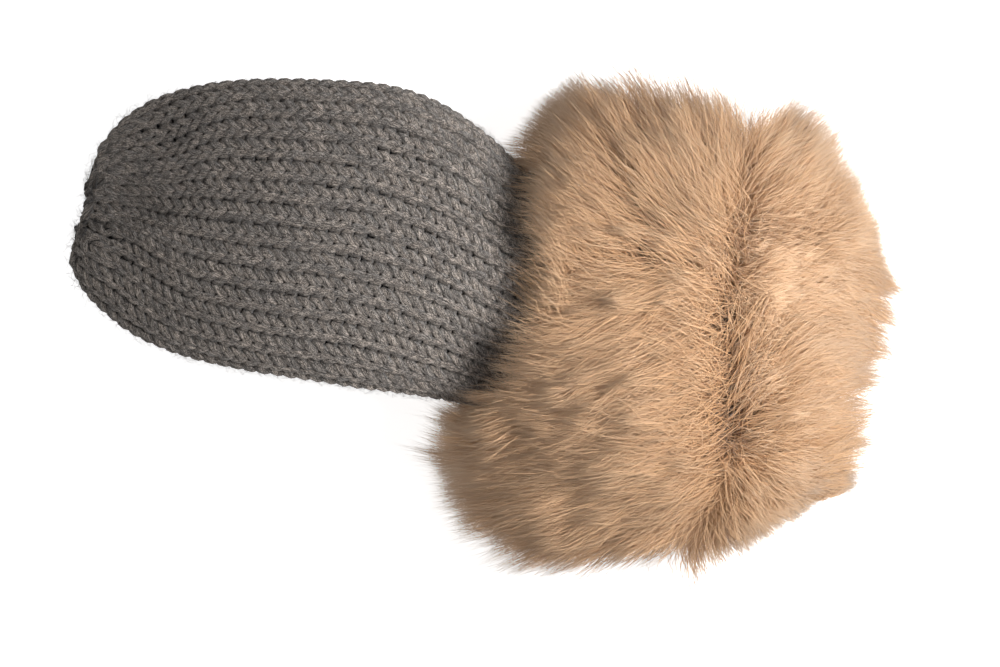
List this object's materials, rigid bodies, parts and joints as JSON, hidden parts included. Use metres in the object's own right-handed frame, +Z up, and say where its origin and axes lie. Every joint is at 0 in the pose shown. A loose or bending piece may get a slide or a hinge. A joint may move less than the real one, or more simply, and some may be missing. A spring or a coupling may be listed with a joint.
{
  "type": "knitted mitten with fur cuff",
  "caption": "Chunky knitted wool mitten for the right hand, fleece lined, with a full long-pile faux-fur cuff, lying palm down.",
  "frame": {"origin": "centre of the bounding box on the surface the mitten lies on", "axes": "+X from the fingertips to the arm opening, +Y away from the thumb, +Z up through the back of the hand"},
  "size_m": [0.275, 0.1616, 0.1078],
  "materials": {
    "wool": "matte",
    "fleece": "matte",
    "fur": "matte",
    "backing_cloth": "matte",
    "elastic": "matte",
    "binding": "matte",
    "thread": "matte"
  },
  "bodies": {
    "cuff": {"wrist_rib": "wool", "cuff_backing": "backing_cloth", "fur_pile_hand_side": "fur", "fur_pile_arm_side": "fur", "wrist_elastic": "elastic", "cuff_hem_binding": "binding", "front_seam_stitches": "thread", "hem_stitches": "thread", "back_seam_stitches": "thread"},
    "hand": {"hand_shell": "wool", "hand_tip_gather": "wool", "hand_lining": "fleece", "thumb_hole_edge": "wool"},
    "thumb": {"thumb_shell": "wool", "thumb_tip_gather": "wool", "thumb_lining": "fleece"}
  },
  "joints": [
    {"name": "wrist_bend", "type": "hinge", "parent": "cuff", "child": "hand", "pos_m": [0.03, 0, 0.052], "axis": [0, 1, 0], "range_deg": [0, 30]},
    {"name": "thumb_swing", "type": "hinge", "parent": "hand", "child": "thumb", "pos_m": [-0.016, -0.013, 0.031], "axis": [0, 0, 1], "range_deg": [0, 60]}
  ]
}
